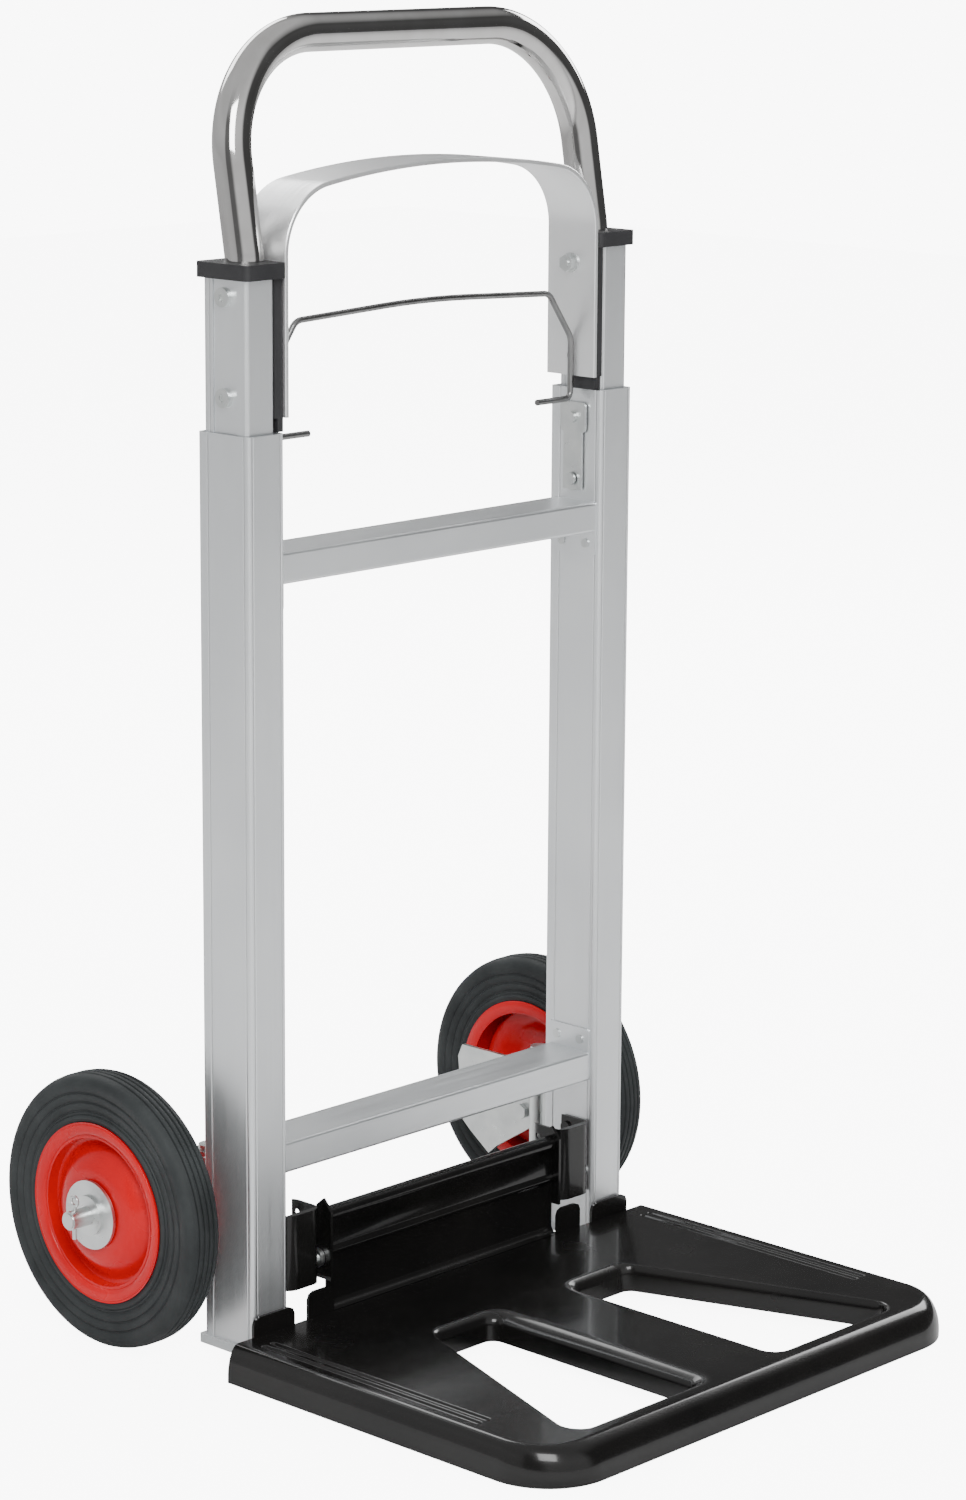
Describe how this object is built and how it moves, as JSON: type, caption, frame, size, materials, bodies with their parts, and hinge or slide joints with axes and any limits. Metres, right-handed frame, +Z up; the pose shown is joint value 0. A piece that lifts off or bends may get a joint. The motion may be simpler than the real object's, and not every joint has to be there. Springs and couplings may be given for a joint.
{
  "type": "folding hand truck",
  "caption": "Folding hand truck with telescoping square-tube rails, a tubular loop handle, a pressed toe plate that folds up and wheels that fold in behind the rails.",
  "frame": {"origin": "middle of the bounding box, at floor level, with the truck standing upright and open", "axes": "+Z up; the toe plate points along -Y and the wheels are towards +Y; +X is on the right in a front view, looking along +Y"},
  "size_m": [0.476, 0.4724, 0.8425],
  "materials": {
    "anodised": "satin anodised, drawn lengthwise",
    "chrome": "bright chrome plate",
    "arch_metal": "satin",
    "zinc": "zinc plated",
    "black_plastic": "matte moulded",
    "grey_plastic": "matte moulded",
    "black_enamel": "gloss enamel",
    "red_enamel": "gloss enamel",
    "tyre": "solid rubber"
  },
  "bodies": {
    "frame": {"left_outer_rail": "anodised", "right_outer_rail": "anodised", "left_foot_cap": "grey_plastic", "right_foot_cap": "grey_plastic", "left_hinge_block": "black_enamel", "right_hinge_block": "black_enamel", "left_wheel_hinge": "zinc", "right_wheel_hinge": "zinc", "upper_crossbar": "anodised", "lower_crossbar": "anodised", "crossbar_rivets": "zinc", "hinge_block_rivets": "black_enamel", "toe_hinge_pins": "zinc", "wheel_hinge_pins": "zinc", "wheel_hinge_rivets": "zinc", "latch_rivets": "zinc"},
    "inner_frame": {"left_inner_rail": "anodised", "right_inner_rail": "anodised", "left_rail_plug": "grey_plastic", "right_rail_plug": "grey_plastic", "left_handle_socket": "black_plastic", "right_handle_socket": "black_plastic", "handle": "chrome", "arch_brace": "arch_metal", "frame_bolts": "zinc", "frame_nuts": "zinc"},
    "bail": {"release_bail": "zinc"},
    "toe_plate_body": {"toe_plate": "black_enamel", "toe_ears": "black_enamel"},
    "latch_left": {"left_latch_leaf": "zinc", "left_lock_pin": "zinc"},
    "bracket_left": {"left_wheel_bracket": "zinc", "left_axle": "zinc", "left_axle_washers": "zinc", "left_split_pin": "zinc", "left_bracket_bolt": "zinc"},
    "wheel_left": {"left_tyre": "tyre", "left_rim": "red_enamel", "left_hub_bush": "grey_plastic"},
    "latch_right": {"right_latch_leaf": "zinc", "right_lock_pin": "zinc"},
    "bracket_right": {"right_wheel_bracket": "zinc", "right_axle": "zinc", "right_axle_washers": "zinc", "right_split_pin": "zinc", "right_bracket_bolt": "zinc"},
    "wheel_right": {"right_tyre": "tyre", "right_rim": "red_enamel", "right_hub_bush": "grey_plastic"}
  },
  "joints": [
    {"name": "handle_slide", "type": "slide", "parent": "frame", "child": "inner_frame", "axis": [0, 0, 1], "range_m": [0, 0.28]},
    {"name": "bail_lift", "type": "slide", "parent": "frame", "child": "bail", "axis": [0, 0, 1], "range_m": [0, 0.01], "stiffness_N_per_m": 400},
    {"name": "latch_left_hinge", "type": "hinge", "parent": "frame", "child": "latch_left", "pos_m": [-0.1421, 0.0654, 0.534], "axis": [0, 1, 0], "range_deg": [0, 5]},
    {"name": "latch_right_hinge", "type": "hinge", "parent": "frame", "child": "latch_right", "pos_m": [0.1421, 0.0654, 0.534], "axis": [0, -1, 0], "range_deg": [0, 5]},
    {"name": "toe_plate_fold", "type": "hinge", "parent": "frame", "child": "toe_plate_body", "pos_m": [0, 0.0508, 0.058], "axis": [-1, 0, 0], "range_deg": [0, 90]},
    {"name": "left_wheel_fold", "type": "hinge", "parent": "frame", "child": "bracket_left", "pos_m": [-0.156, 0.1028, 0.09], "axis": [0, 0, -1], "range_deg": [0, 90]},
    {"name": "right_wheel_fold", "type": "hinge", "parent": "frame", "child": "bracket_right", "pos_m": [0.156, 0.1028, 0.09], "axis": [0, 0, 1], "range_deg": [0, 90]},
    {"name": "left_wheel_spin", "type": "hinge", "parent": "bracket_left", "child": "wheel_left", "pos_m": [-0.2, 0.1462, 0.09], "axis": [1, 0, 0], "continuous": true},
    {"name": "right_wheel_spin", "type": "hinge", "parent": "bracket_right", "child": "wheel_right", "pos_m": [0.2, 0.1462, 0.09], "axis": [1, 0, 0], "continuous": true}
  ],
  "couplings": [
    {"joint": "latch_left_hinge", "follows": "bail_lift", "rad_per_m": 8.7},
    {"joint": "latch_right_hinge", "follows": "bail_lift", "rad_per_m": 8.7},
    {"joint": "left_wheel_fold", "follows": "toe_plate_fold", "ratio": 1},
    {"joint": "right_wheel_fold", "follows": "toe_plate_fold", "ratio": 1}
  ]
}
